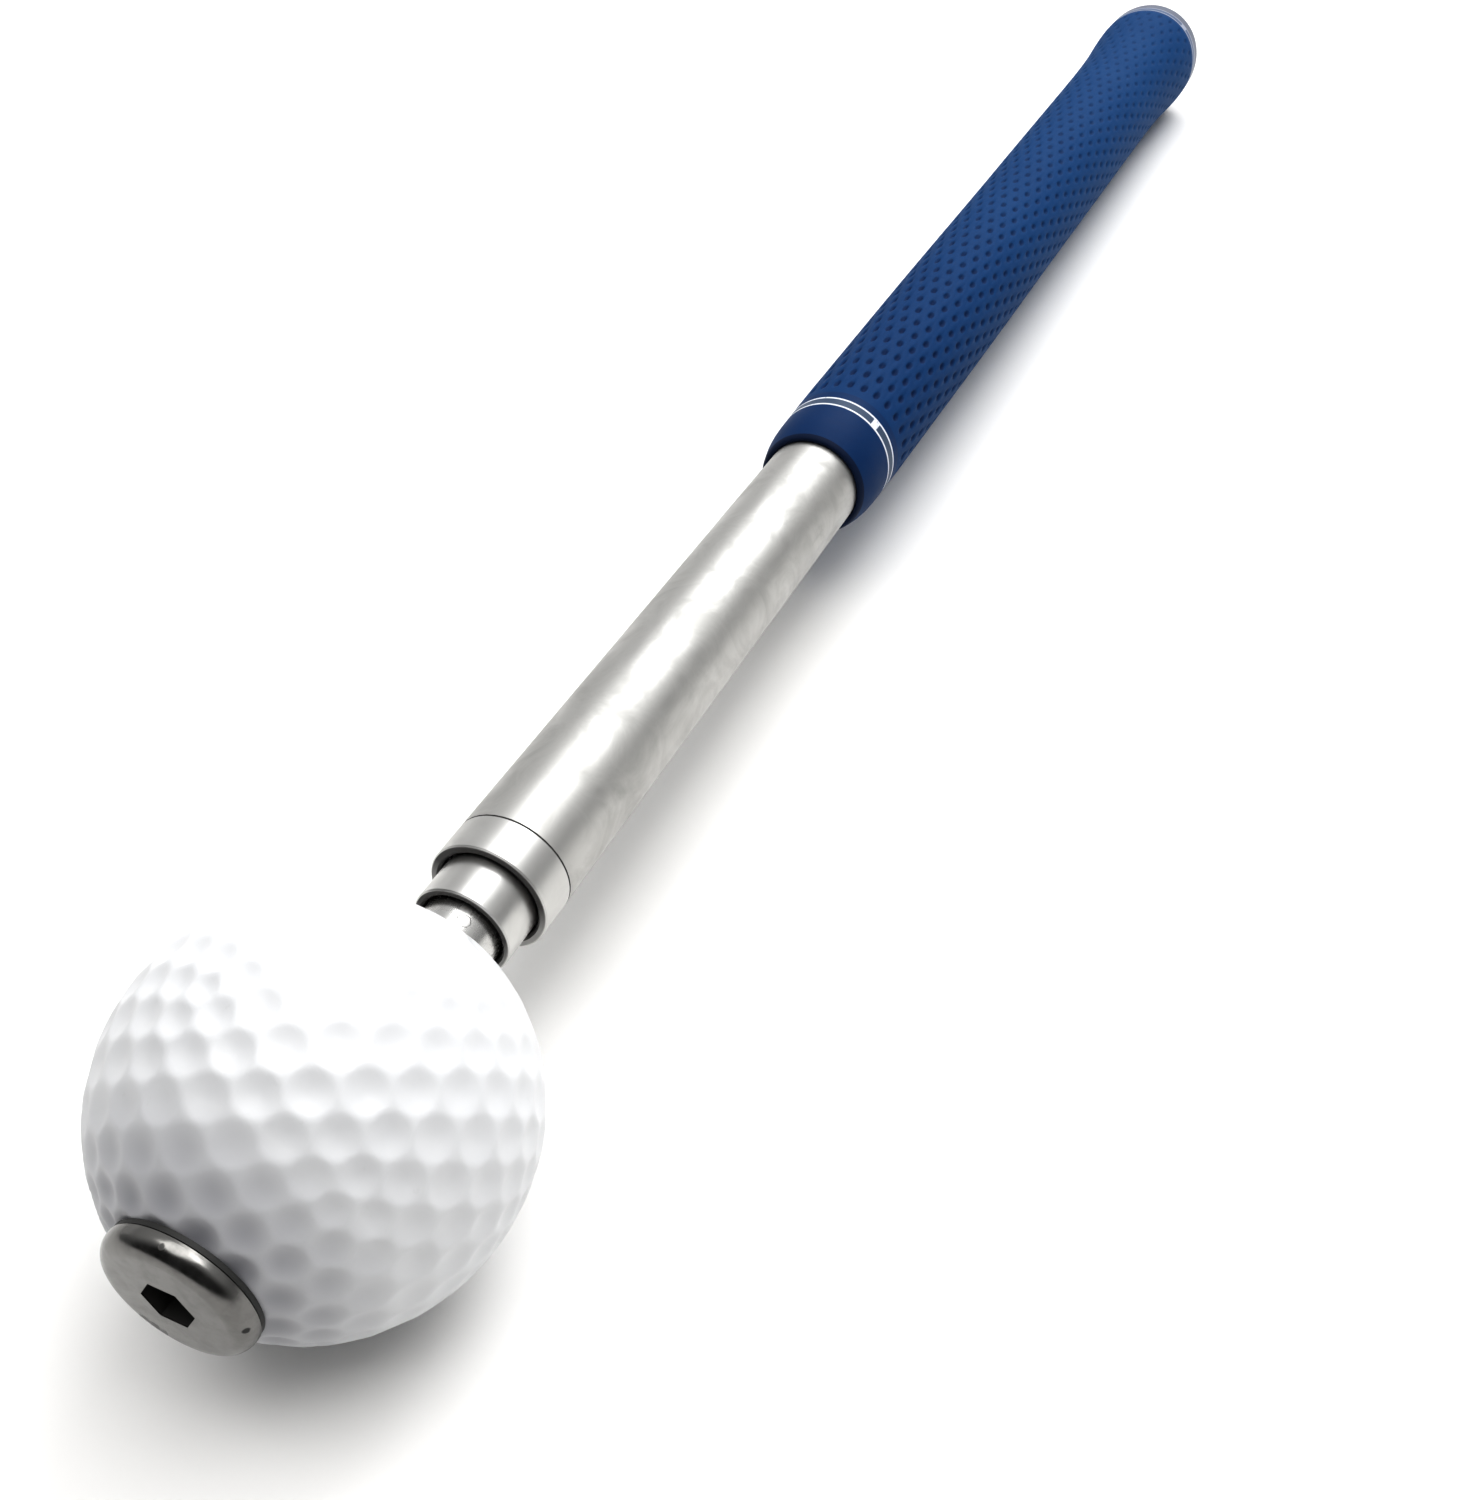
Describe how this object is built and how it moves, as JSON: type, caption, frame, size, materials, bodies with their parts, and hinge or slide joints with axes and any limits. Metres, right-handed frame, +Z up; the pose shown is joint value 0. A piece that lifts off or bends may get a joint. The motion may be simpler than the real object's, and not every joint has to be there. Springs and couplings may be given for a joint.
{
  "type": "golf ball retriever",
  "caption": "Three-stage telescopic steel rod with a pitted rubber golf grip and a dimpled golf ball bolted through its centre on the tip.",
  "frame": {"origin": "centre of the flat butt face of the grip", "axes": "+X along the rod axis, from the butt to the ball (the way the stages extend); Z up as it lies"},
  "size_m": [0.3866, 0.0426, 0.0426],
  "materials": {
    "grip_rubber": "matt blue moulded rubber with small recessed pits and thin white paint rings",
    "tube_steel": "satin stainless steel, fine lengthwise polish",
    "collar_steel": "turned and polished stainless steel",
    "bolt_steel": "plated steel, slightly dull",
    "guide_plastic": "black acetal",
    "black_rubber": "black rubber",
    "plug_plastic": "black moulded plastic",
    "ball_white": "glossy white dimpled ball cover",
    "core_rubber": "solid rubber core, hidden",
    "washer_dark": "dark rubber-faced washer"
  },
  "bodies": {
    "handle": {"grip": "grip_rubber", "outer_tube": "tube_steel", "outer_collar": "collar_steel", "outer_wiper": "black_rubber", "outer_guide_bush": "guide_plastic", "butt_plug": "plug_plastic", "end_cushion": "black_rubber"},
    "middle_stage": {"middle_tube": "tube_steel", "middle_collar": "collar_steel", "middle_wiper": "black_rubber", "middle_guide_bush": "guide_plastic", "middle_end_ring": "collar_steel", "middle_rear_bush": "guide_plastic", "middle_stop_ring": "black_rubber"},
    "inner_stage": {"inner_tube": "tube_steel", "inner_rear_plug": "collar_steel", "inner_rear_bush": "guide_plastic", "inner_stop_ring": "black_rubber", "inner_end_plug": "collar_steel", "ball_cover": "ball_white", "ball_core": "core_rubber", "rear_washer": "collar_steel", "front_washer": "washer_dark", "ball_bolt": "bolt_steel"}
  },
  "joints": [
    {"name": "middle_slide", "type": "slide", "parent": "handle", "child": "middle_stage", "axis": [1, 0, 0], "range_m": [0, 0.27]},
    {"name": "inner_slide", "type": "slide", "parent": "middle_stage", "child": "inner_stage", "axis": [1, 0, 0], "range_m": [0, 0.275]}
  ]
}
